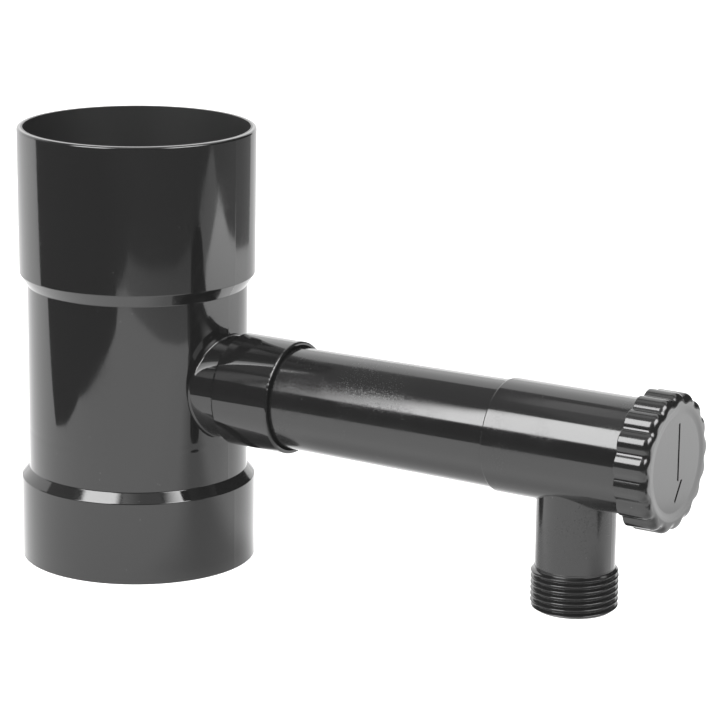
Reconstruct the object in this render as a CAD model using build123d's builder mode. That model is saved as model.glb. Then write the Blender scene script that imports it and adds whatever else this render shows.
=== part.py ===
"""Rainwater diverter for a round downpipe, with a side arm, a turning regulator and a threaded outlet.

Millimetres. The downpipe runs along Z, with the diverter's bottom face at z = 0. The arm runs out along +X.
Water that runs down the pipe wall is caught in a ring trough, leaves through the arm, and falls out of the
outlet. When the trough is full it spills over the inner sleeve and goes on down the pipe.
"""
from build123d import *
from math import cos, radians, sqrt
import os

# Downpipe and its two sockets
downpipe_d = 90.0
downpipe_clearance = 0.25
body_height = 175.7
top_socket_depth = 58.7
top_rim_wall = 2.4
top_root_wall = 2.0
collar_height = 33.0
collar_wall = 1.9
rim_round = 0.9

# Body between the sockets
body_r = 44.1
body_wall = 2.2
top_step_rise = 4.8
bottom_step_rise = 3.85
seat_offset = 0.7
step_round = 0.7

# Ring trough and its overflow sleeve, which stands higher than the branch's crown
trough_sill = 3.0
trough_floor_thickness = 2.2
sleeve_root_r = 33.0
sleeve_top_r = 32.4
sleeve_wall = 1.8
sleeve_over_branch = 1.2

# Branch on the body, a little above the middle between the two steps
branch_above_middle = 0.975
neck_r = 20.3
neck_wall = 2.2
neck_length = 5.3
branch_step_length = 2.0
branch_socket_r = 22.3
branch_lip_x = 76.4
branch_mouth_wall = 1.3
branch_lip_round = 0.7
branch_root_round = 0.8
branch_stop_wall = 3.7

# Arm: a tapered tube that carries the regulator's housing
arm_seat_length = 10.0
arm_seat_gap = 0.05
arm_end_gap = 0.2
arm_small_r = 19.9
arm_large_r = 20.8
arm_wall = 2.2
arm_step_x = 171.5
housing_r = 21.85
housing_wall = 2.2
housing_edge_round = 0.6
bore_step_setback = 2.2

# Outlet under the housing, with the root size of a one-inch pipe thread
outlet_x = 201.5
outlet_root_r = 15.15
outlet_wall = 2.3
outlet_length = 62.7
outlet_root_round = 0.5
outlet_end_chamfer = 0.4

# Knob
knob_back_x = 229.5
knob_length = 13.1
knob_crest_r = 26.4
knob_groove_r = 24.75
knob_lobes = 17
knob_lobe_turn = 2.8
knob_groove_round = 1.9
knob_front_round = 3.0
knob_back_round = 0.4
knob_face_thickness = 2.6
knob_skirt_gap = 0.25
dish_r = 18.6
dish_edge = 3.2
dish_depth = 0.4

# Arrow sunk in the knob's face
arrow_depth = 0.3
arrow_top = 14.9
arrow_neck = -7.2
arrow_tip = -15.3
arrow_shaft_width = 4.6
arrow_head_width = 11.0

# Snap bead that keeps the knob on the housing
bead_height = 0.85
bead_length = 1.6
bead_slope = 0.6
lip_length = 1.9
lip_gap = 0.3
snap_play = 0.3
housing_end_gap = 0.3

# Barrel inside the housing and its two seal rings
barrel_running_gap = 0.08
barrel_wall = 2.6
barrel_end_gap = 0.5
port_r = 12.4
ring_spacing = 19.0
ring_groove_depth = 1.45
ring_groove_width = 2.2
ring_gap = 0.03

# Sizes worked out from the ones above
socket_bore_r = downpipe_d / 2 + downpipe_clearance
top_rim_r = socket_bore_r + top_rim_wall
top_root_r = socket_bore_r + top_root_wall
collar_r = socket_bore_r + collar_wall
body_bore_r = body_r - body_wall
top_root_z = body_height - top_socket_depth
top_neck_z = top_root_z - top_step_rise
bottom_neck_z = collar_height + bottom_step_rise
neck_bore_r = neck_r - neck_wall
branch_z = (bottom_neck_z + top_neck_z) / 2 + branch_above_middle
trough_floor_z = branch_z - neck_bore_r - trough_sill
trough_floor_under_z = trough_floor_z - trough_floor_thickness
sleeve_top_z = branch_z + neck_r + sleeve_over_branch
outlet_end_z = branch_z - outlet_length
neck_end_x = body_r + neck_length
branch_stop_x = neck_end_x + branch_step_length + branch_stop_wall
arm_start_x = branch_stop_x + arm_end_gap
arm_slope = (arm_large_r - arm_small_r) / (arm_step_x - arm_start_x)
seat_end_x = branch_stop_x + arm_seat_length
housing_bore_r = housing_r - housing_wall
bore_step_x = arm_step_x + bore_step_setback
knob_face_x = knob_back_x + knob_length
knob_inner_x = knob_face_x - knob_face_thickness
housing_end_x = knob_inner_x - housing_end_gap
bead_r = housing_r + bead_height
bead_start_x = knob_back_x + lip_length + snap_play
lip_r = housing_r + lip_gap
skirt_bore_r = bead_r + knob_skirt_gap
barrel_r = housing_bore_r - barrel_running_gap
barrel_bore_r = barrel_r - barrel_wall
barrel_start_x = bore_step_x + barrel_end_gap
outlet_bore_r = outlet_root_r - outlet_wall
groove_root_r = barrel_r - ring_groove_depth
ring_section_r = (housing_bore_r - groove_root_r) / 2 - ring_gap
ring_centre_r = (housing_bore_r + groove_root_r) / 2

# The arm's own section plane and axis, and a plane that looks at the knob's face
arm_plane = Plane(origin=(0, 0, branch_z), x_dir=(1, 0, 0), z_dir=(0, -1, 0))
arm_axis = Axis((0, 0, branch_z), (1, 0, 0))


def across_arm(x):
    """A plane square to the arm at x, with its own x along Y and its own y up."""
    return Plane(origin=(x, 0, branch_z), x_dir=(0, 1, 0), z_dir=(1, 0, 0))


def arm_outer_r(x):
    """Radius of the tapered arm at x."""
    return arm_small_r + arm_slope * (x - arm_start_x)


# Collector body: both downpipe sockets, the ring trough with its sleeve, and the branch, in one moulding
with BuildPart() as collector_body:
    with BuildSketch(Plane.XZ) as outer_section:
        with BuildLine():
            Polyline(
                (0, 0),
                (collar_r, 0),
                (collar_r, collar_height),
                (body_r, bottom_neck_z),
                (body_r, top_neck_z),
                (top_root_r, top_root_z),
                (top_rim_r, body_height),
                (0, body_height),
                close=True,
            )
        make_face()
        corners = outer_section.vertices()
        soft_corners = [
            corners.sort_by_distance((collar_r, collar_height))[0],
            corners.sort_by_distance((body_r, bottom_neck_z))[0],
            corners.sort_by_distance((body_r, top_neck_z))[0],
            corners.sort_by_distance((top_root_r, top_root_z))[0],
        ]
        fillet(soft_corners, step_round)
        fillet(outer_section.vertices().sort_by_distance((top_rim_r, body_height))[0], rim_round)
    revolve(axis=Axis.Z)

    # Branch: neck, conical step and socket, turned about the arm's axis
    with BuildSketch(arm_plane) as branch_section:
        with BuildLine():
            Polyline(
                (0, 0),
                (0, neck_r),
                (neck_end_x, neck_r),
                (neck_end_x + branch_step_length, branch_socket_r),
                (branch_lip_x, branch_socket_r),
                (branch_lip_x, 0),
                close=True,
            )
        make_face()
        ends = branch_section.vertices()
        fillet(ends.sort_by_distance((branch_lip_x, branch_socket_r))[0], branch_lip_round)
    revolve(axis=arm_axis)
    saddle = edges().filter_by(GeomType.BSPLINE)
    fillet(saddle, branch_root_round)

    # Water way through the body, leaving the trough's floor and the sleeve standing
    with BuildSketch(Plane.XZ) as water_way:
        with BuildLine():
            Polyline(
                (0, body_height),
                (socket_bore_r, body_height),
                (socket_bore_r, top_root_z + seat_offset),
                (body_bore_r, top_neck_z + seat_offset),
                (body_bore_r, trough_floor_z),
                (sleeve_root_r, trough_floor_z),
                (sleeve_top_r, sleeve_top_z),
                (sleeve_top_r - sleeve_wall, sleeve_top_z),
                (sleeve_root_r - sleeve_wall, trough_floor_under_z),
                (body_bore_r, trough_floor_under_z),
                (body_bore_r, bottom_neck_z - seat_offset),
                (socket_bore_r, collar_height - seat_offset),
                (socket_bore_r, 0),
                (0, 0),
                close=True,
            )
        make_face()
    revolve(axis=Axis.Z, mode=Mode.SUBTRACT)

    # Branch bore, from the trough out through the socket, with its stop and its wider mouth
    wall_gap_x = sqrt(body_bore_r**2 - neck_bore_r**2)
    bore_start_x = (sleeve_root_r + wall_gap_x) / 2
    with BuildSketch(arm_plane):
        with BuildLine():
            Polyline(
                (bore_start_x, 0),
                (bore_start_x, neck_bore_r),
                (branch_stop_x, neck_bore_r),
                (branch_stop_x, arm_outer_r(branch_stop_x) + arm_seat_gap),
                (seat_end_x, arm_outer_r(seat_end_x) + arm_seat_gap),
                (branch_lip_x, branch_socket_r - branch_mouth_wall),
                (branch_lip_x, 0),
                close=True,
            )
        make_face()
    revolve(axis=arm_axis, mode=Mode.SUBTRACT)

collector_body.part.label = "collector_body"

# Outlet arm: tapered tube, regulator housing and outlet stub, in one moulding
with BuildPart() as outlet_arm:
    with BuildSketch(arm_plane) as arm_section:
        with BuildLine():
            Polyline(
                (arm_start_x, 0),
                (arm_start_x, arm_small_r),
                (arm_step_x, arm_large_r),
                (arm_step_x, housing_r),
                (bead_start_x, housing_r),
                (bead_start_x, bead_r),
                (bead_start_x + bead_length, bead_r),
                (bead_start_x + bead_length + bead_slope, housing_r),
                (housing_end_x, housing_r),
                (housing_end_x, 0),
                close=True,
            )
        make_face()
        fillet(arm_section.vertices().sort_by_distance((arm_step_x, housing_r))[0], housing_edge_round)
    revolve(axis=arm_axis)

    with BuildSketch(Plane.XY.offset(outlet_end_z)) as outlet_foot:
        with Locations((outlet_x, 0)):
            Circle(outlet_root_r)
    extrude(amount=branch_z - outlet_end_z)
    foot_edge = edges().filter_by(GeomType.CIRCLE).sort_by(Axis.Z)[0]
    chamfer(foot_edge, outlet_end_chamfer)
    joint_edge = edges().filter_by(GeomType.BSPLINE)
    fillet(joint_edge, outlet_root_round)

    with BuildSketch(arm_plane):
        with BuildLine():
            Polyline(
                (arm_start_x, 0),
                (arm_start_x, arm_small_r - arm_wall),
                (bore_step_x, arm_outer_r(bore_step_x) - arm_wall),
                (bore_step_x, housing_bore_r),
                (housing_end_x, housing_bore_r),
                (housing_end_x, 0),
                close=True,
            )
        make_face()
    revolve(axis=arm_axis, mode=Mode.SUBTRACT)
    with BuildSketch(Plane.XY.offset(outlet_end_z)):
        with Locations((outlet_x, 0)):
            Circle(outlet_bore_r)
    extrude(amount=branch_z - outlet_end_z, mode=Mode.SUBTRACT)

outlet_arm.part.label = "outlet_arm"

# Regulator: fluted cap with its arrow and the ported barrel behind it, in one moulding
with BuildPart() as regulator_knob:
    half_pitch = radians(180 / knob_lobes)
    groove_drop = knob_crest_r - knob_groove_r * cos(half_pitch)
    lobe_square = knob_crest_r**2 + knob_groove_r**2 - 2 * knob_crest_r * knob_groove_r * cos(half_pitch)
    lobe_r = lobe_square / (2 * groove_drop)
    with BuildSketch(across_arm(knob_back_x)) as cap_outline:
        Circle(knob_crest_r - lobe_r)
        with PolarLocations(knob_crest_r - lobe_r, knob_lobes, start_angle=knob_lobe_turn):
            Circle(lobe_r)
        fillet(cap_outline.vertices(), knob_groove_round)
    extrude(amount=knob_length)
    front_edges = faces().sort_by(Axis.X)[-1].edges()
    fillet(front_edges, knob_front_round)
    back_edges = faces().sort_by(Axis.X)[0].edges()
    fillet(back_edges, knob_back_round)

    # Hollow of the cap, with the snap lip at its back edge
    with BuildSketch(arm_plane):
        with BuildLine():
            Polyline(
                (knob_back_x, barrel_r),
                (knob_back_x, lip_r),
                (knob_back_x + lip_length, lip_r),
                (knob_back_x + lip_length, skirt_bore_r),
                (knob_inner_x, skirt_bore_r),
                (knob_inner_x, barrel_r),
                close=True,
            )
        make_face()
    revolve(axis=arm_axis, mode=Mode.SUBTRACT)

    # Barrel, its inside, its ring grooves and its port
    with BuildSketch(across_arm(barrel_start_x)):
        Circle(barrel_r)
    extrude(amount=knob_inner_x - barrel_start_x)
    with BuildSketch(across_arm(barrel_start_x)):
        Circle(barrel_bore_r)
    extrude(amount=knob_inner_x - barrel_start_x, mode=Mode.SUBTRACT)
    for ring_x in (outlet_x - ring_spacing, outlet_x + ring_spacing):
        with BuildSketch(across_arm(ring_x - ring_groove_width / 2)):
            Circle(barrel_r)
            Circle(groove_root_r, mode=Mode.SUBTRACT)
        extrude(amount=ring_groove_width, mode=Mode.SUBTRACT)
    with BuildSketch(Plane.XY.offset(branch_z - housing_bore_r)):
        with Locations((outlet_x, 0)):
            Circle(port_r)
    extrude(amount=housing_bore_r, mode=Mode.SUBTRACT)

    # Shallow dish in the face, which runs up to its edge in a smooth double curve
    dish_rim = (knob_face_x, dish_r + dish_edge)
    dish_floor_edge = (knob_face_x - dish_depth, dish_r)
    with BuildSketch(arm_plane):
        with BuildLine():
            Spline(dish_rim, dish_floor_edge, tangents=((0, -1), (0, -1)))
            Polyline(dish_floor_edge, (knob_face_x - dish_depth, 0), (knob_face_x, 0), dish_rim)
        make_face()
    revolve(axis=arm_axis, mode=Mode.SUBTRACT)

    # Sunk arrow that points to the side the port is on
    with BuildSketch(across_arm(knob_face_x)):
        with BuildLine():
            Polyline(
                (-arrow_shaft_width / 2, arrow_top),
                (-arrow_shaft_width / 2, arrow_neck),
                (-arrow_head_width / 2, arrow_neck),
                (0, arrow_tip),
                (arrow_head_width / 2, arrow_neck),
                (arrow_shaft_width / 2, arrow_neck),
                (arrow_shaft_width / 2, arrow_top),
                close=True,
            )
        make_face()
    extrude(amount=-(dish_depth + arrow_depth), mode=Mode.SUBTRACT)

regulator_knob.part.label = "regulator_knob"

# Seal ring near the arm, in the barrel's first groove
with BuildPart() as inner_seal_ring:
    with BuildSketch(arm_plane):
        with Locations((outlet_x - ring_spacing, ring_centre_r)):
            Circle(ring_section_r)
    revolve(axis=arm_axis)

inner_seal_ring.part.label = "inner_seal_ring"

# Seal ring near the knob, in the barrel's second groove
with BuildPart() as outer_seal_ring:
    with BuildSketch(arm_plane):
        with Locations((outlet_x + ring_spacing, ring_centre_r)):
            Circle(ring_section_r)
    revolve(axis=arm_axis)

outer_seal_ring.part.label = "outer_seal_ring"

os.makedirs("parts", exist_ok=True)
export_step(collector_body.part, "parts/collector_body.step")
export_step(outlet_arm.part, "parts/outlet_arm.step")
export_step(regulator_knob.part, "parts/regulator_knob.step")
export_step(inner_seal_ring.part, "parts/inner_seal_ring.step")
export_step(outer_seal_ring.part, "parts/outer_seal_ring.step")
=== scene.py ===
"""Looks of the rainwater diverter: glossy moulded PVC on a white table, between two softboxes.

Metres, in the CAD model's frame: the downpipe runs up along Z and the arm runs out along +X.
"""

import bpy
import numpy as np
from mathutils import Matrix, Vector


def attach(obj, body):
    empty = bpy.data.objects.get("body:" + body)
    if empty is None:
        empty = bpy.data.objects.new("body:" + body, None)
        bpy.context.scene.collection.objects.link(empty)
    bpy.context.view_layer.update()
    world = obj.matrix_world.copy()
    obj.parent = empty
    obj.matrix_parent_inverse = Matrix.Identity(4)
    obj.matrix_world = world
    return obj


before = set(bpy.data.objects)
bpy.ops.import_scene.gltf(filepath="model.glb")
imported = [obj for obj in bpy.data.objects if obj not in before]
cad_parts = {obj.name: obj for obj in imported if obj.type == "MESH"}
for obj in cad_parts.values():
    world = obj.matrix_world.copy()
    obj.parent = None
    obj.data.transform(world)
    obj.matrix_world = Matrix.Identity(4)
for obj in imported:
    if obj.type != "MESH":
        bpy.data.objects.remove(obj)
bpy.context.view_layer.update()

# Collector body: one injection moulding in graphite PVC with both sockets, the ring trough and the branch.
# The polished mould leaves a high gloss with a faint ripple. The cooling trough floor pulled a shallow
# sink ring into the outside of the wall.

MM = 0.001
GRAPHITE_PVC = "101010"
# Paler colour inside the top socket: painted light that lifts its shaded inside.
CORE_PAINTED_LIGHT = "1c1c1c"
CORE_DULLNESS = 0.3
PVC_IOR = 1.53
SCUFF_PATCH = 40 * MM
SCUFF_SPECK = 0.6 * MM
PATCH_SHIFT = (55 * MM, 0.0, 0.0)
RIPPLE_LENGTH = 9 * MM
GRAIN_SIZE = 0.7 * MM
SPLIT_HALF_WIDTH = 0.25 * MM
SPLIT_HEIGHT = 22e-6
SINK_HALF_WIDTH = 2.2 * MM
SINK_DEPTH = 25e-6
DUST = "3c3c3c"
DUST_CELL = 4 * MM
DUST_RADIUS = 0.2 * MM
DUST_SHARE = 0.25


def linear(hex_colour):
    """Linear RGBA of an sRGB hex colour, by the sRGB curve."""
    channels = np.array([int(hex_colour[i : i + 2], 16) for i in (0, 2, 4)]) / 255
    low = channels / 12.92
    high = ((channels + 0.055) / 1.055) ** 2.4
    return (*np.where(channels <= 0.04045, low, high), 1.0)


def add_node(tree, kind, settings=None, links=None):
    """Adds a node. Settings name its properties or input sockets, and links name the sockets that feed it."""
    node = tree.nodes.new(kind)
    for name, value in (settings or {}).items():
        if isinstance(name, str) and hasattr(node, name):
            setattr(node, name, value)
        else:
            node.inputs[name].default_value = value
    for name, source in (links or {}).items():
        tree.links.new(source, node.inputs[name])
    return node


def new_material(name):
    """An empty node material with its output node."""
    material = bpy.data.materials.new(name)
    material.use_nodes = True
    material.node_tree.nodes.clear()
    return material, add_node(material.node_tree, "ShaderNodeOutputMaterial")


def moulded_pvc(name, hex_colour, roughness, scuffs, ripple_um, grain_um, sink_z=None, core=None, split=True):
    """Glossy PVC from a polished mould: long ripple, fine grain, patches of scuffs and a few dust specks.

    The height is the sum of a ripple and a grain, each a noise times its depth. A sink ring adds a
    smooth dip where the height above the base is near sink_z, and the mould's split a fine ridge where y
    is near 0. The core is the radius within which, and the level above which, the PVC is duller, and its
    paler colour there is painted light that lifts the shaded inside.
    """
    material, output = new_material(name)
    tree = material.node_tree
    place = add_node(tree, "ShaderNodeTexCoord").outputs["Object"]
    axes = add_node(tree, "ShaderNodeSeparateXYZ", links={"Vector": place})

    # Scuffs from handling are specks of duller gloss, which come in patches.
    shifted = add_node(tree, "ShaderNodeVectorMath", {"operation": "ADD", 1: PATCH_SHIFT}, {0: place})
    patches = add_node(
        tree,
        "ShaderNodeTexNoise",
        {"Scale": 1 / SCUFF_PATCH, "Detail": 3.0, "Roughness": 0.55},
        {"Vector": shifted.outputs["Vector"]},
    )
    patch = add_node(
        tree,
        "ShaderNodeMapRange",
        {"interpolation_type": "SMOOTHSTEP", "From Min": 0.38, "From Max": 0.66},
        {"Value": patches.outputs["Fac"]},
    )
    specks = add_node(
        tree,
        "ShaderNodeTexNoise",
        {"Scale": 1 / SCUFF_SPECK, "Detail": 3.0, "Roughness": 0.6},
        {"Vector": place},
    )
    scuff = add_node(
        tree,
        "ShaderNodeMapRange",
        {"From Min": 0.40, "From Max": 0.70, "To Max": scuffs},
        {"Value": specks.outputs["Fac"]},
    )
    dullness = add_node(
        tree,
        "ShaderNodeMath",
        {"operation": "MULTIPLY_ADD", 2: roughness},
        {0: patch.outputs["Result"], 1: scuff.outputs["Result"]},
    ).outputs[0]

    # The real grain is about 0.35 mm wide. It is drawn twice as coarse so that it shows.
    ripple = add_node(
        tree,
        "ShaderNodeTexNoise",
        {"Scale": 1 / RIPPLE_LENGTH, "Detail": 1.0, "Roughness": 0.4},
        {"Vector": place},
    )
    ripple_bump = add_node(
        tree,
        "ShaderNodeBump",
        {"Strength": 1.0, "Distance": ripple_um * 1e-6},
        {"Height": ripple.outputs["Fac"]},
    )
    grain = add_node(
        tree,
        "ShaderNodeTexNoise",
        {"Scale": 1 / GRAIN_SIZE, "Detail": 2.0, "Roughness": 0.6},
        {"Vector": place},
    )
    bump = add_node(
        tree,
        "ShaderNodeBump",
        {"Strength": 1.0, "Distance": grain_um * 1e-6},
        {"Height": grain.outputs["Fac"], "Normal": ripple_bump.outputs["Normal"]},
    )

    # The ridge at the split and the sink ring each fall off smoothly with the distance from their plane.
    lines = []
    if split:
        lines.append(("Y", 0.0, SPLIT_HALF_WIDTH, SPLIT_HEIGHT, True))
    if sink_z is not None:
        lines.append(("Z", sink_z, SINK_HALF_WIDTH, SINK_DEPTH, False))
    for axis, level, half_width, depth, is_ridge in lines:
        offset = add_node(
            tree,
            "ShaderNodeMath",
            {"operation": "SUBTRACT", 1: level},
            {0: axes.outputs[axis]},
        )
        distance = add_node(tree, "ShaderNodeMath", {"operation": "ABSOLUTE"}, {0: offset.outputs[0]})
        rise = add_node(
            tree,
            "ShaderNodeMapRange",
            {"interpolation_type": "SMOOTHERSTEP", "From Max": half_width},
            {"Value": distance.outputs[0]},
        )
        bump = add_node(
            tree,
            "ShaderNodeBump",
            {"Strength": 1.0, "Distance": depth, "invert": is_ridge},
            {"Height": rise.outputs["Result"], "Normal": bump.outputs["Normal"]},
        )

    # Dust sits at the middle of some cells, and the cell's random colour picks which.
    cells = add_node(tree, "ShaderNodeTexVoronoi", {"Scale": 1 / DUST_CELL}, {"Vector": place})
    near = add_node(
        tree,
        "ShaderNodeMath",
        {"operation": "LESS_THAN", 1: DUST_RADIUS / DUST_CELL},
        {0: cells.outputs["Distance"]},
    )
    pick = add_node(tree, "ShaderNodeSeparateColor", links={"Color": cells.outputs["Color"]})
    dusty = add_node(
        tree,
        "ShaderNodeMath",
        {"operation": "GREATER_THAN", 1: 1 - DUST_SHARE},
        {0: pick.outputs["Red"]},
    )
    speck = add_node(
        tree,
        "ShaderNodeMath",
        {"operation": "MULTIPLY"},
        {0: near.outputs[0], 1: dusty.outputs[0]},
    )
    colour = add_node(
        tree,
        "ShaderNodeMix",
        {"data_type": "RGBA", 6: linear(hex_colour), 7: linear(DUST)},
        {0: speck.outputs[0]},
    ).outputs[2]

    if core is not None:
        core_r, core_z = core
        flat = add_node(tree, "ShaderNodeCombineXYZ", links={"X": axes.outputs["X"], "Y": axes.outputs["Y"]})
        radius = add_node(tree, "ShaderNodeVectorMath", {"operation": "LENGTH"}, {0: flat.outputs["Vector"]})
        within = add_node(
            tree,
            "ShaderNodeMath",
            {"operation": "LESS_THAN", 1: core_r},
            {0: radius.outputs["Value"]},
        )
        above = add_node(
            tree,
            "ShaderNodeMath",
            {"operation": "GREATER_THAN", 1: core_z},
            {0: axes.outputs["Z"]},
        )
        inside = add_node(
            tree,
            "ShaderNodeMath",
            {"operation": "MULTIPLY"},
            {0: within.outputs[0], 1: above.outputs[0]},
        ).outputs[0]
        # Painted light: the core is painted paler, which lifts the shaded inside of the socket.
        colour = add_node(
            tree,
            "ShaderNodeMix",
            {"data_type": "RGBA", 7: linear(CORE_PAINTED_LIGHT)},
            {0: inside, 6: colour},
        ).outputs[2]
        dullness = add_node(
            tree,
            "ShaderNodeMath",
            {"operation": "MULTIPLY_ADD", 1: CORE_DULLNESS},
            {0: inside, 2: dullness},
        ).outputs[0]

    shader = add_node(
        tree,
        "ShaderNodeBsdfPrincipled",
        {"IOR": PVC_IOR},
        {
            "Base Color": colour,
            "Roughness": dullness,
            "Normal": bump.outputs["Normal"],
        },
    )
    tree.links.new(shader.outputs["BSDF"], output.inputs["Surface"])
    return material


def finish_node(node_name, material):
    """Puts a material on every slot of a CAD node's object."""
    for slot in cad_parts[node_name].material_slots:
        slot.material = material


SINK_Z = 53.2 * MM
# The core is the top socket's inside: duller in gloss, and painted paler as painted light.
CORE_R = 46.0 * MM
CORE_Z = 118.0 * MM
body_pvc = moulded_pvc(
    "graphite_pvc_body",
    GRAPHITE_PVC,
    roughness=0.05,
    scuffs=0.12,
    ripple_um=6,
    grain_um=0.6,
    sink_z=SINK_Z,
    core=(CORE_R, CORE_Z),
)
finish_node("collector_body", body_pvc)

# Outlet arm: a second moulding in the same PVC, with the tube, the housing and the outlet in one.
# Its long core cools slower, so the tube carries a little more ripple than the body. Hands hold it there,
# so it has the most scuffs.

arm_pvc = moulded_pvc(
    "graphite_pvc_arm", GRAPHITE_PVC, roughness=0.08, scuffs=0.28, ripple_um=9, grain_um=0.9
)
finish_node("outlet_arm", arm_pvc)

# Outlet thread: a one-inch pipe thread moulded on the outlet, right-handed, with rounded crests and roots.
# It is a sleeve over the stub, whose radius is the thread's root.

THREAD_AXIS_X = 201.5 * MM
THREAD_ROOT_R = 15.17 * MM
THREAD_CREST_R = 16.62 * MM
THREAD_INNER_R = 14.9 * MM
THREAD_PITCH = 2.309 * MM
THREAD_START_Z = 13.22 * MM
THREAD_END_Z = 29.6 * MM
THREAD_RUN_OUT = 1.6 * MM
THREAD_LEAD_IN = 0.9 * MM
THREAD_FOOT = 0.15
THREAD_CLIP = 1.15
THREAD_ROWS = 170
THREAD_COLUMNS = 240


def surface_mesh(name, points, close_u, close_v):
    """A quad mesh over a grid of points, by row and column. Closing joins the last one to the first."""
    rows, columns = points.shape[:2]
    index = np.arange(rows * columns).reshape(rows, columns)
    if close_u:
        index = np.concatenate([index, index[:1]])
    if close_v:
        index = np.concatenate([index, index[:, :1]], axis=1)
    quads = np.stack([index[:-1, :-1], index[:-1, 1:], index[1:, 1:], index[1:, :-1]], axis=-1).reshape(-1, 4)
    mesh = bpy.data.meshes.new(name)
    mesh.from_pydata(points.reshape(-1, 3), [], quads)
    mesh.polygons.foreach_set("use_smooth", np.ones(len(quads), bool))
    mesh.update()
    return mesh


def add_piece(mesh, material, body):
    """Links a mesh as a piece that rides on a body and takes its finish from a material slot."""
    piece = bpy.data.objects.new(mesh.name, mesh)
    bpy.context.scene.collection.objects.link(piece)
    mesh.materials.append(material)
    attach(piece, body)
    return piece


def thread_sleeve():
    """The threaded outside and the plain inside of the sleeve, as one closed tube wall.

    The radius is the root plus the ridge height times a rounded wave of z minus the helix's rise at that
    angle. The wave is flat-sided like a 55 degree thread: a sine pushed through a smooth clip. The ridge
    fades in over the lead-in at the foot and out over the run-out at the top.
    """
    angle = np.linspace(0, 2 * np.pi, THREAD_COLUMNS, endpoint=False)[None, :]
    z = np.linspace(THREAD_START_Z, THREAD_END_Z, THREAD_ROWS)[:, None]
    phase = 2 * np.pi * (z / THREAD_PITCH) - angle
    wave = 0.5 + 0.5 * np.sin(THREAD_CLIP * np.sin(phase)) / np.sin(THREAD_CLIP)
    lead_in = np.clip((z - THREAD_START_Z) / THREAD_LEAD_IN + THREAD_FOOT, 0, 1)
    run_out = np.clip((THREAD_END_Z - z) / THREAD_RUN_OUT, 0, 1)
    ridge = wave * np.minimum(lead_in, run_out)
    radius = THREAD_ROOT_R + (THREAD_CREST_R - THREAD_ROOT_R) * ridge
    inner = np.full_like(radius[:1], THREAD_INNER_R)
    radius = np.concatenate([inner, radius, inner])
    level = np.concatenate([z[:1], z, z[-1:]]) + np.zeros_like(radius)
    x = THREAD_AXIS_X + radius * np.cos(angle)
    y = radius * np.sin(angle)
    return np.stack([x, y, level], axis=-1)


thread_mesh = surface_mesh("outlet_thread", thread_sleeve()[::-1, ::-1], close_u=True, close_v=True)
thread_material = moulded_pvc(
    "graphite_pvc_thread", GRAPHITE_PVC, roughness=0.12, scuffs=0.1, ripple_um=2, grain_um=0.6
)
add_piece(thread_mesh, thread_material, "diverter")

# Regulator knob: cap, arrow and barrel moulded in one, in a black a little paler and less glossy than the
# pipe's. Its mould opens along the arm's axis, so no ridge from a split crosses it.

KNOB_PLASTIC = "121212"
knob_material = moulded_pvc(
    "knob_plastic", KNOB_PLASTIC, roughness=0.13, scuffs=0.1, ripple_um=3, grain_um=0.9, split=False
)
finish_node("regulator_knob", knob_material)

# Seal rings: soft black nitrile rubber in grooves on the barrel, greased, so they shine a little.
# They come from a ground mould, which leaves a fine grain.

NITRILE = "161616"
NITRILE_GRAIN = 0.5 * MM
ring_material, ring_output = new_material("nitrile_rubber")
ring_place = add_node(ring_material.node_tree, "ShaderNodeTexCoord").outputs["Object"]
ring_noise = add_node(
    ring_material.node_tree,
    "ShaderNodeTexNoise",
    {"Scale": 1 / NITRILE_GRAIN, "Detail": 2.0},
    {"Vector": ring_place},
)
ring_bump = add_node(
    ring_material.node_tree,
    "ShaderNodeBump",
    {"Strength": 1.0, "Distance": 5e-6},
    {"Height": ring_noise.outputs["Fac"]},
)
ring_shader = add_node(
    ring_material.node_tree,
    "ShaderNodeBsdfPrincipled",
    {"Base Color": linear(NITRILE), "Roughness": 0.45, "IOR": 1.5},
    {"Normal": ring_bump.outputs["Normal"]},
)
ring_material.node_tree.links.new(ring_shader.outputs["BSDF"], ring_output.inputs["Surface"])
finish_node("inner_seal_ring", ring_material)
finish_node("outer_seal_ring", ring_material)

# Table: plain white, wide enough to fill every view, and lit from below as well, so that it keeps almost
# no shadow.

TABLE_HALF = 6.0
TABLE_WHITE = "b4b4b4"
TABLE_LIT_BELOW = 0.85
FOOT_R = 46.0 * MM


def flat_mesh(name, corners):
    """One flat polygon through the given corners."""
    mesh = bpy.data.meshes.new(name)
    mesh.from_pydata([Vector(c) for c in corners], [], [range(len(corners))])
    mesh.update()
    return mesh


def add_stage(mesh, material):
    """Links a mesh that belongs to the studio and not to the object."""
    card = bpy.data.objects.new(mesh.name, mesh)
    bpy.context.scene.collection.objects.link(card)
    mesh.materials.append(material)
    return card


def outside_pipe(tree, level):
    """The level outside the body's foot, and none inside it: no light comes up where the pipe stands."""
    place = add_node(tree, "ShaderNodeTexCoord").outputs["Object"]
    radius = add_node(tree, "ShaderNodeVectorMath", {"operation": "LENGTH"}, {0: place})
    outside = add_node(
        tree,
        "ShaderNodeMath",
        {"operation": "GREATER_THAN", 1: FOOT_R},
        {0: radius.outputs["Value"]},
    )
    lit = add_node(tree, "ShaderNodeMath", {"operation": "MULTIPLY", 1: level}, {0: outside.outputs[0]})
    return lit.outputs[0]


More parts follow.
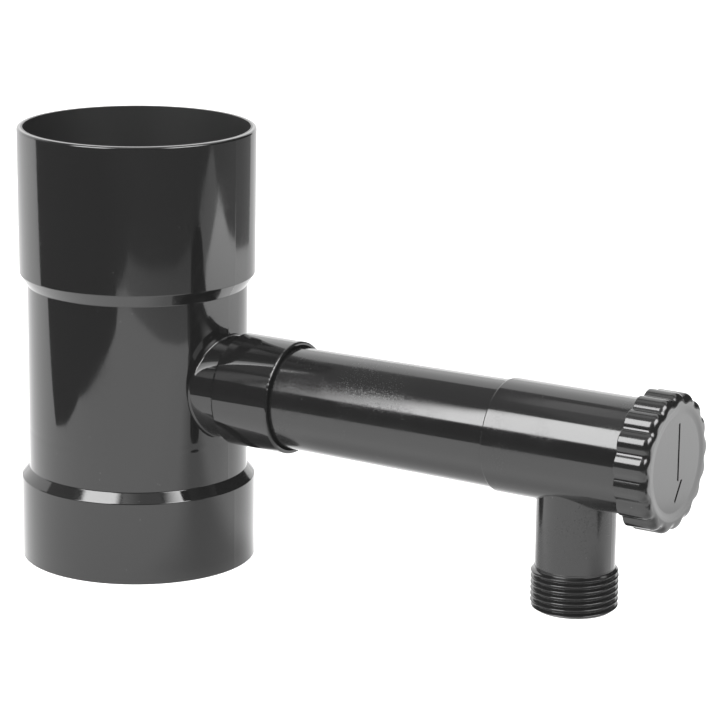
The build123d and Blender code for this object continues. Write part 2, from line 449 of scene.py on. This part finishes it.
table_material, table_output = new_material("white_table")
table_shader = add_node(
    table_material.node_tree,
    "ShaderNodeBsdfPrincipled",
    {
        "Base Color": linear(TABLE_WHITE),
        "Roughness": 1.0,
        "Specular IOR Level": 0.0,
        "Emission Color": (1, 1, 1, 1),
    },
    {"Emission Strength": outside_pipe(table_material.node_tree, TABLE_LIT_BELOW)},
)
table_material.node_tree.links.new(table_shader.outputs["BSDF"], table_output.inputs["Surface"])
table_corners = [(x * TABLE_HALF, y * TABLE_HALF, 0) for x, y in ((-1, -1), (1, -1), (1, 1), (-1, 1))]
add_stage(flat_mesh("table", table_corners), table_material)

# Room: a white surround gives the soft light. Only the gloss sees the lit table top and what lies past it:
# the unlit room in front, the grey ceiling, and the paler panels at the right.

ROOM_LIGHT = 1.65
ROOM_R = 1.6
ROOM_TOP = 1.6
FRONT_LEVEL = 2.0
BACK_LEVEL = 1.25
FRONT_TO_BACK = (-0.15, 0.45)
SHADOW_DEPTH = 0.45
SHADOW_SIDE = (0.065, 0.010)
SHADOW_ENDS = ((0.36, 0.28), (0.02, 0.06))
TOP_Z = 0.2 * MM
RING_Z = 0.4 * MM
PANEL_Z = 0.8 * MM

world = bpy.data.worlds.new("white_room")
world.use_nodes = True
world.node_tree.nodes["Background"].inputs["Color"].default_value = (1, 1, 1, 1)
world.node_tree.nodes["Background"].inputs["Strength"].default_value = ROOM_LIGHT
bpy.context.scene.world = world


def glow(name, level, far_level=None, axis="X", span=(0.0, 1.0)):
    """An emitter of the given level. With a far level, it changes evenly over a span of an axis."""
    material, output = new_material(name)
    tree = material.node_tree
    shader = add_node(tree, "ShaderNodeEmission", {"Strength": level})
    tree.links.new(shader.outputs["Emission"], output.inputs["Surface"])
    if far_level is not None:
        place = add_node(tree, "ShaderNodeTexCoord").outputs["Object"]
        way = add_node(tree, "ShaderNodeSeparateXYZ", links={"Vector": place}).outputs[axis]
        ramp = add_node(
            tree,
            "ShaderNodeMapRange",
            {"From Min": span[0], "From Max": span[1], "To Min": level, "To Max": far_level},
            {"Value": way},
        )
        tree.links.new(ramp.outputs["Result"], shader.inputs["Strength"])
    return material


def seen_by_gloss(card):
    """Hides a card from everything but mirror rays."""
    card.visible_camera = False
    card.visible_diffuse = False
    card.visible_shadow = False
    card.visible_transmission = False
    card.visible_volume_scatter = False


def table_in_gloss():
    """The lit top: its level falls from front to back, times one minus the arm's soft shadow.

    The shadow is a smooth fall of the distance from the arm's line, times a smooth fall at each end. The
    result is nothing inside the pipe's foot.
    """
    material = glow("lit_table_top", FRONT_LEVEL, BACK_LEVEL, "Y", FRONT_TO_BACK)
    tree = material.node_tree
    emission = tree.nodes["Emission"]
    front_to_back = emission.inputs["Strength"].links[0].from_socket
    place = add_node(tree, "ShaderNodeTexCoord").outputs["Object"]
    axes = add_node(tree, "ShaderNodeSeparateXYZ", links={"Vector": place})
    off_line = add_node(tree, "ShaderNodeMath", {"operation": "ABSOLUTE"}, {0: axes.outputs["Y"]})
    shadow = add_node(
        tree,
        "ShaderNodeMapRange",
        {
            "interpolation_type": "SMOOTHSTEP",
            "From Min": SHADOW_SIDE[0],
            "From Max": SHADOW_SIDE[1],
            "To Max": SHADOW_DEPTH,
        },
        {"Value": off_line.outputs[0]},
    ).outputs["Result"]
    for start, end in SHADOW_ENDS:
        fall = add_node(
            tree,
            "ShaderNodeMapRange",
            {"interpolation_type": "SMOOTHSTEP", "From Min": start, "From Max": end},
            {"Value": axes.outputs["X"]},
        )
        shadow = add_node(
            tree,
            "ShaderNodeMath",
            {"operation": "MULTIPLY"},
            {0: fall.outputs["Result"], 1: shadow},
        ).outputs[0]
    rest = add_node(tree, "ShaderNodeMath", {"operation": "SUBTRACT", 0: 1.0}, {1: shadow})
    lit = add_node(
        tree,
        "ShaderNodeMath",
        {"operation": "MULTIPLY"},
        {0: rest.outputs[0], 1: outside_pipe(tree, 1.0)},
    )
    level = add_node(
        tree,
        "ShaderNodeMath",
        {"operation": "MULTIPLY"},
        {0: front_to_back, 1: lit.outputs[0]},
    )
    tree.links.new(level.outputs[0], emission.inputs["Strength"])
    return material


top_corners = [(x * ROOM_R, y * ROOM_R, TOP_Z) for x, y in ((-1, -1), (1, -1), (1, 1), (-1, 1))]
seen_by_gloss(add_stage(flat_mesh("lit_table_top", top_corners), table_in_gloss()))

# The edge of the lit table top, from the far left round the front to the far back. Past it the floor is dark.
left_front = [(-1.50, -0.337), (-0.65, -0.215), (-0.20, -0.150), (-0.165, -0.20), (-0.13, -0.285)]
left_front += [(-0.05, -0.345), (0.03, -0.40), (0.11, -0.445), (0.15, -0.505)]
right_front = [(0.22, -0.49), (0.27, -0.42), (0.32, -0.35), (0.36, -0.27), (0.40, -0.16), (0.43, -0.03)]
right_notch = [(0.36, 0.00), (0.40, 0.06), (0.43, 0.09)]
right_back = [(0.51, 0.10), (0.57, 0.13), (0.60, 0.20), (0.64, 0.28), (0.67, 0.36)]
back = [(0.60, 0.40), (0.50, 0.43), (0.43, 0.46), (0.37, 0.48), (0.27, 0.54), (0.20, 0.57), (0.10, 0.60)]
far_back = [(0.09, 0.80), (0.12, 1.50)]
table_edge = np.array(left_front + right_front + right_notch + right_back + back + far_back)
edge_far = table_edge / np.linalg.norm(table_edge, axis=1, keepdims=True) * ROOM_R
ring = np.stack([table_edge, edge_far])
ring = np.concatenate([ring, np.full((*ring.shape[:2], 1), RING_Z)], axis=-1)
dark_floor = surface_mesh("dark_floor", ring, close_u=False, close_v=False)
seen_by_gloss(add_stage(dark_floor, glow("dark_floor", 0.12, 0.22, "X", (0.0, 0.5))))

# The panels lie on the floor along that edge, and neighbours share an edge. Each has one level, or one at
# either end of a span along X.
panel_front = [(0.33, -0.50), (0.40, -0.43), (0.45, -0.37), (0.52, -0.27)]
panel_front += [(0.56, -0.18), (0.60, -0.10), (0.63, -0.04)]
panel_corner = (0.28, -0.54)
dim_outside = [(0.55, -0.62), (0.90, -0.30), (1.10, 0.10), (0.76, 0.12), (0.70, 0.06), (0.47, 0.06)]
grey_outside = [(0.43, 0.09), (0.47, 0.06), (0.55, 0.07), (0.62, 0.10), (0.66, 0.05), (0.70, 0.06)]
grey_outside += [(0.76, 0.12), (0.80, 0.20), (0.85, 0.28), (0.84, 0.33), (0.70, 0.35)]
back_outside = [(0.70, 0.35), (0.84, 0.33), (0.85, 0.28), (1.40, 0.30), (1.10, 1.10), (0.12, 1.50)]
bright_inside = [(0.10, 0.36), (0.28, 0.28), (0.335, 0.16), (0.40, 0.12)]
panels = {
    "grey_front": (
        glow("grey_front", 0.95, 0.6, "X", (0.30, 0.60)),
        [left_front[-1], panel_corner, *panel_front, *right_front[::-1]],
    ),
    "dim_right": (
        glow("dim_right", 0.22),
        [panel_corner, *dim_outside, right_front[-1], *panel_front[::-1]],
    ),
    "grey_right": (
        glow("grey_right", 1.15),
        [*grey_outside, *right_back[::-1]],
    ),
    "dim_back": (
        glow("dim_back", 0.45),
        [right_back[-1], *back_outside, far_back[0], *back[::-1]],
    ),
    "bright_back": (
        glow("bright_back", 1.35, 3.6, "X", (0.15, 0.60)),
        [*right_back, *back, *bright_inside],
    ),
}
for panel_name, (panel_glow, outline) in panels.items():
    panel = flat_mesh(panel_name, [(x, y, PANEL_Z) for x, y in outline])
    seen_by_gloss(add_stage(panel, panel_glow))

# The wall of the unlit room runs round the front, from the left edge of the dark floor to the back right.
WALL_BEARINGS = (-76, 178)
bearing = np.radians(np.linspace(*WALL_BEARINGS, 60))
foot = np.stack([ROOM_R * np.sin(bearing), -ROOM_R * np.cos(bearing), np.zeros_like(bearing)], axis=-1)
wall = surface_mesh("dark_wall", np.stack([foot, foot + (0, 0, ROOM_TOP)]), close_u=False, close_v=False)
seen_by_gloss(add_stage(wall, glow("dark_wall", 0.28, 0.05, "X", (-1.5, -0.8))))

# The ceiling is a grey grid of four fields, with the main light's halo just below it.
ceilings = {
    "ceiling_left": (0.33, (-1.6, -0.61), (-1.6, 0.8)),
    "ceiling_right": (0.65, (-0.61, 1.8), (-1.6, -0.1)),
    "ceiling_middle": (1.3, (-0.61, 1.8), (-0.1, 0.46)),
    "ceiling_back": (0.35, (-0.61, 1.8), (0.46, 0.8)),
}
for ceiling_name, (level, (x0, x1), (y0, y1)) in ceilings.items():
    corners = [(x0, y0, ROOM_TOP), (x1, y0, ROOM_TOP), (x1, y1, ROOM_TOP), (x0, y1, ROOM_TOP)]
    seen_by_gloss(add_stage(flat_mesh(ceiling_name, corners), glow(ceiling_name, level)))
halo_corners = [(0.10, -1.30), (0.58, -1.30), (0.58, -0.70), (0.10, -0.70)]
halo = flat_mesh("softbox_halo", [(x, y, ROOM_TOP - RING_Z) for x, y in halo_corners])
seen_by_gloss(add_stage(halo, glow("softbox_halo", 1.9, 0.65, "X", (0.22, 0.58))))

# Softboxes: the main one stands at the front left and leans over the table, with its own spill on the cloth
# beside it. The other hangs at the right. Their light falls off towards the edges of the cloth.


def softbox(name, origin, right, up, width, height, level, side_edge, end_edge):
    """A rectangle of light from its lower left corner, along a right and an up direction.

    Its level is the product of two smooth ramps at each pair of edges, in the card's own UV map. The ramps
    are side_edge wide at the left and right, and end_edge wide at the bottom and top.
    """
    right = Vector(right).normalized() * width
    up = Vector(up).normalized() * height
    origin = Vector(origin)
    mesh = flat_mesh(name, [origin, origin + right, origin + right + up, origin + up])
    mesh.uv_layers.new(name="cloth").data.foreach_set("uv", [0, 0, width, 0, width, height, 0, height])
    material = glow(name, level)
    tree = material.node_tree
    cloth = add_node(tree, "ShaderNodeUVMap", {"uv_map": "cloth"}).outputs["UV"]
    along = add_node(tree, "ShaderNodeSeparateXYZ", links={"Vector": cloth})
    edges = (
        ("X", 0, side_edge, level),
        ("X", width, width - side_edge, 1.0),
        ("Y", 0, end_edge, 1.0),
        ("Y", height, height - end_edge, 1.0),
    )
    ramps = [
        add_node(
            tree,
            "ShaderNodeMapRange",
            {"interpolation_type": "SMOOTHSTEP", "From Min": start, "From Max": end, "To Max": full},
            {"Value": along.outputs[axis]},
        ).outputs["Result"]
        for axis, start, end, full in edges
    ]
    product = ramps[0]
    for ramp in ramps[1:]:
        both = add_node(tree, "ShaderNodeMath", {"operation": "MULTIPLY"}, {0: ramp, 1: product})
        product = both.outputs[0]
    tree.links.new(product, tree.nodes["Emission"].inputs["Strength"])
    card = add_stage(mesh, material)
    card.visible_camera = False
    return card


left_lean = (0, 0.3907, 0.9205)
softbox(
    "softbox_left",
    origin=(-0.70, -1.090, 0.560),
    right=(1, 0, 0),
    up=left_lean,
    width=0.88,
    height=0.95,
    level=13.0,
    side_edge=0.16,
    end_edge=0.06,
)
spill = softbox(
    "softbox_spill",
    origin=(-0.80, -1.090, 0.583),
    right=(1, 0, 0),
    up=left_lean,
    width=0.24,
    height=0.55,
    level=0.9,
    side_edge=0.06,
    end_edge=0.06,
)
seen_by_gloss(spill)
right_box = softbox(
    "softbox_right",
    origin=(0.92, -0.60, 1.56),
    right=(0, 1, 0),
    up=(0.20, 0, -0.98),
    width=1.10,
    height=1.15,
    level=12.5,
    side_edge=0.3,
    end_edge=0.35,
)
seen_by_gloss(right_box)

# Camera: at the photograph's place, fitted to the outlines of the sockets, the arm and the knob.

CAMERA_AZIMUTH = 31.770
CAMERA_ELEVATION = 14.285
CAMERA_ROLL = 0.667
CAMERA_DISTANCE = 1262.815 * MM
CAMERA_TARGET = Vector((105.395, 0, 94.958)) * MM
FOCAL_PIXELS = 3270.010
IMAGE_PIXELS = 720
SENSOR_WIDTH = 36.0


def camera_matrix():
    """Looks at the target from an azimuth counted from -Y towards +X, with a small roll about the view."""
    azimuth, elevation, roll = np.radians([CAMERA_AZIMUTH, CAMERA_ELEVATION, CAMERA_ROLL])
    back = Vector(
        (
            np.sin(azimuth) * np.cos(elevation),
            -np.cos(azimuth) * np.cos(elevation),
            np.sin(elevation),
        )
    )
    level_right = Vector((0, 0, 1)).cross(back).normalized()
    level_up = back.cross(level_right)
    right = level_right * np.cos(roll) + level_up * np.sin(roll)
    up = level_up * np.cos(roll) - level_right * np.sin(roll)
    place = CAMERA_TARGET + back * CAMERA_DISTANCE
    matrix = Matrix((right, up, back)).transposed().to_4x4()
    matrix.translation = place
    return matrix


camera_data = bpy.data.cameras.new("camera")
camera_data.sensor_width = SENSOR_WIDTH
camera_data.lens = FOCAL_PIXELS * SENSOR_WIDTH / IMAGE_PIXELS
camera_data.clip_start = 0.05
camera = bpy.data.objects.new("camera", camera_data)
camera.matrix_world = camera_matrix()
bpy.context.scene.collection.objects.link(camera)
bpy.context.scene.camera = camera

# The lens' veil over the bright background lifts the blacks by about one part in a hundred.
VEIL = 0.009
view = bpy.context.scene.view_settings
view.view_transform = "Standard"
view.use_curve_mapping = True
view.curve_mapping.black_level = (-VEIL, -VEIL, -VEIL)
view.curve_mapping.update()
